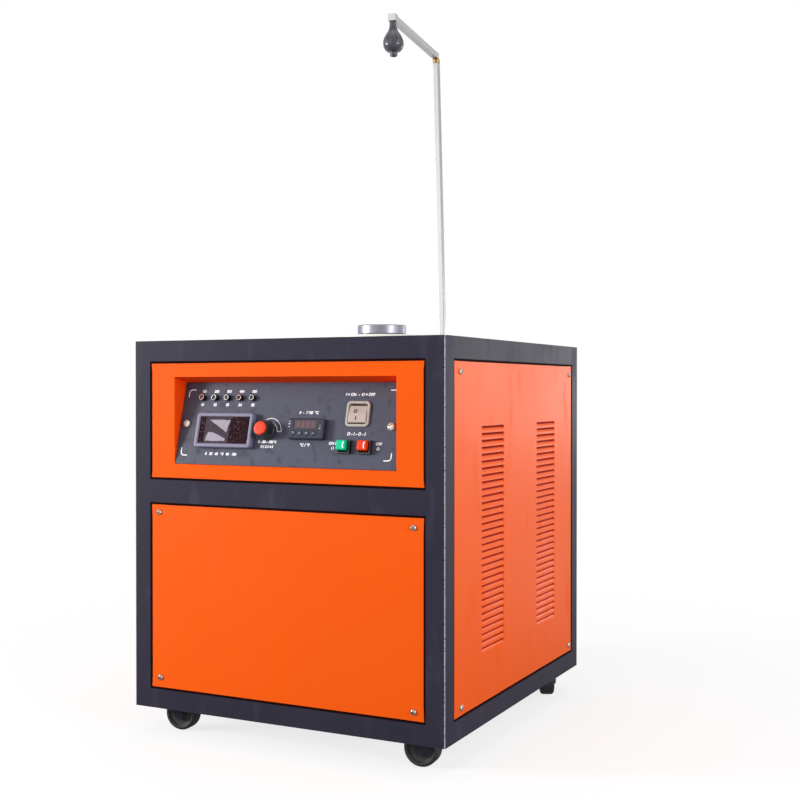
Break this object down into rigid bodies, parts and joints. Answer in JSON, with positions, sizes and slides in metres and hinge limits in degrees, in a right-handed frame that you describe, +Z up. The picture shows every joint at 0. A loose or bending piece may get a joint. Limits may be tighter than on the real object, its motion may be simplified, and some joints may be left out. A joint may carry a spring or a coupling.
{
  "type": "electric gold melting furnace",
  "caption": "Floor-standing induction melting furnace on swivel casters, with a sloping console, louvred sides, a crucible well and a swinging probe arm.",
  "frame": {"origin": "on the floor, under the middle of the furnace with its rear fittings", "axes": "+Z up, +X to the right of a person at the console, -Y out of the console"},
  "size_m": [0.505, 0.5846, 1.114],
  "materials": {
    "black_paint": "satin black paint",
    "orange_paint": "satin orange paint",
    "slate_paint": "satin slate paint",
    "galvanised": "dull zinc sheet",
    "refractory": "matt white",
    "graphite": "matt dark grey",
    "lid_steel": "turned",
    "copper": "bare drawn tube",
    "aluminium": "bare",
    "black_plastic": "satin",
    "grey_plastic": "satin",
    "red_plastic": "gloss",
    "green_plastic": "gloss",
    "beige_plastic": "satin",
    "dark_window": "gloss",
    "lamp_metal": "polished",
    "stainless": "brushed",
    "zinc": "zinc plated",
    "brass": "turned",
    "rubber": "matt black"
  },
  "bodies": {
    "cabinet": {"front_frame": "black_paint", "rear_frame": "black_paint", "top_rail_left": "black_paint", "top_rail_right": "black_paint", "bottom_rail_left": "black_paint", "bottom_rail_right": "black_paint", "base_tray": "galvanised", "console_fascia": "orange_paint", "control_panel": "slate_paint", "lower_front_panel": "orange_paint", "side_panel_left": "orange_paint", "side_panel_right": "orange_paint", "rear_panel": "orange_paint", "top_board": "refractory", "crucible_sleeve": "refractory", "induction_coil": "copper", "inverter_module": "aluminium", "fan_housing": "black_plastic", "cable_gland": "black_plastic", "water_inlet": "brass", "water_outlet": "brass", "meter_body": "grey_plastic", "meter_window": "dark_window", "temp_controller": "black_plastic", "rocker_bezel": "beige_plastic", "start_collar": "black_plastic", "stop_collar": "black_plastic", "lamp_1": "lamp_metal", "lamp_2": "lamp_metal", "lamp_3": "lamp_metal", "lamp_4": "lamp_metal", "lamp_5": "lamp_metal", "probe_post": "stainless", "arm_bush": "brass", "caster_plate_front_left": "zinc", "caster_plate_front_right": "zinc", "caster_plate_rear_left": "zinc", "caster_plate_rear_right": "zinc"},
    "arm": {"probe_arm": "stainless", "probe_holder": "black_plastic"},
    "knob": {"power_knob": "black_plastic", "knob_cap": "red_plastic"},
    "rocker": {"rocker_paddle": "beige_plastic"},
    "start": {"start_button": "green_plastic"},
    "stop": {"stop_button": "red_plastic"},
    "key_1": {"temp_key_1": "grey_plastic"},
    "key_2": {"temp_key_2": "grey_plastic"},
    "key_3": {"temp_key_3": "grey_plastic"},
    "key_4": {"temp_key_4": "grey_plastic"},
    "crucible": {"graphite_crucible": "graphite"},
    "lid": {"crucible_lid": "lid_steel"},
    "rotor": {"fan_rotor": "black_plastic"},
    "fork_front_left": {"caster_fork_front_left": "black_paint"},
    "wheel_front_left": {"caster_wheel_front_left": "rubber"},
    "fork_front_right": {"caster_fork_front_right": "black_paint"},
    "wheel_front_right": {"caster_wheel_front_right": "rubber"},
    "fork_rear_left": {"caster_fork_rear_left": "black_paint"},
    "wheel_rear_left": {"caster_wheel_rear_left": "rubber"},
    "fork_rear_right": {"caster_fork_rear_right": "black_paint"},
    "wheel_rear_right": {"caster_wheel_rear_right": "rubber"}
  },
  "joints": [
    {"name": "arm_swing", "type": "hinge", "parent": "cabinet", "child": "arm", "pos_m": [-0.01503, 0.268, 1.10241], "axis": [-0.0269, 0, 0.9996], "continuous": true},
    {"name": "knob_turn", "type": "hinge", "parent": "cabinet", "child": "knob", "pos_m": [-0.03, -0.27056, 0.45119], "axis": [0, 0.971, -0.2392], "range_deg": [0, 270]},
    {"name": "rocker_tip", "type": "hinge", "parent": "cabinet", "child": "rocker", "pos_m": [0.1147, -0.26179, 0.47426], "axis": [1, 0, 0], "range_deg": [0, 14]},
    {"name": "start_press", "type": "slide", "parent": "cabinet", "child": "start", "axis": [0, 0.971, -0.2392], "range_m": [0, 0.003], "stiffness_N_per_m": 300, "springref_m": -0.003},
    {"name": "stop_press", "type": "slide", "parent": "cabinet", "child": "stop", "axis": [0, 0.971, -0.2392], "range_m": [0, 0.003], "stiffness_N_per_m": 300, "springref_m": -0.003},
    {"name": "key_1_press", "type": "slide", "parent": "cabinet", "child": "key_1", "axis": [0, 0.971, -0.2392], "range_m": [0, 0.0005], "stiffness_N_per_m": 1000, "springref_m": -0.0005},
    {"name": "key_2_press", "type": "slide", "parent": "cabinet", "child": "key_2", "axis": [0, 0.971, -0.2392], "range_m": [0, 0.0005], "stiffness_N_per_m": 1000, "springref_m": -0.0005},
    {"name": "key_3_press", "type": "slide", "parent": "cabinet", "child": "key_3", "axis": [0, 0.971, -0.2392], "range_m": [0, 0.0005], "stiffness_N_per_m": 1000, "springref_m": -0.0005},
    {"name": "key_4_press", "type": "slide", "parent": "cabinet", "child": "key_4", "axis": [0, 0.971, -0.2392], "range_m": [0, 0.0005], "stiffness_N_per_m": 1000, "springref_m": -0.0005},
    {"name": "crucible_lift", "type": "slide", "parent": "cabinet", "child": "crucible", "axis": [0, 0, 1], "range_m": [0, 0.14]},
    {"name": "lid_lift", "type": "slide", "parent": "crucible", "child": "lid", "axis": [0, 0, 1], "range_m": [0, 0.08]},
    {"name": "fan_spin", "type": "hinge", "parent": "cabinet", "child": "rotor", "pos_m": [0.12, 0.23945, 0.4055], "axis": [0, 1, 0], "continuous": true},
    {"name": "swivel_front_left", "type": "hinge", "parent": "cabinet", "child": "fork_front_left", "pos_m": [-0.2125, -0.238, 0.0405], "axis": [0, 0, 1], "continuous": true},
    {"name": "roll_front_left", "type": "hinge", "parent": "fork_front_left", "child": "wheel_front_left", "pos_m": [-0.19957, -0.23664, 0.025], "axis": [-0.1045, 0.9945, 0], "continuous": true},
    {"name": "swivel_front_right", "type": "hinge", "parent": "cabinet", "child": "fork_front_right", "pos_m": [0.2125, -0.238, 0.0405], "axis": [0, 0, 1], "continuous": true},
    {"name": "roll_front_right", "type": "hinge", "parent": "fork_front_right", "child": "wheel_front_right", "pos_m": [0.19953, -0.23891, 0.025], "axis": [0.0698, -0.9976, 0], "continuous": true},
    {"name": "swivel_rear_left", "type": "hinge", "parent": "cabinet", "child": "fork_rear_left", "pos_m": [-0.2125, 0.215, 0.0405], "axis": [0, 0, 1], "continuous": true},
    {"name": "roll_rear_left", "type": "hinge", "parent": "fork_rear_left", "child": "wheel_rear_left", "pos_m": [-0.20062, 0.22029, 0.025], "axis": [-0.4067, 0.9135, 0], "continuous": true},
    {"name": "swivel_rear_right", "type": "hinge", "parent": "cabinet", "child": "fork_rear_right", "pos_m": [0.2125, 0.215, 0.0405], "axis": [0, 0, 1], "continuous": true},
    {"name": "roll_rear_right", "type": "hinge", "parent": "fork_rear_right", "child": "wheel_rear_right", "pos_m": [0.2182, 0.20332, 0.025], "axis": [0.8988, 0.4384, 0], "continuous": true}
  ]
}
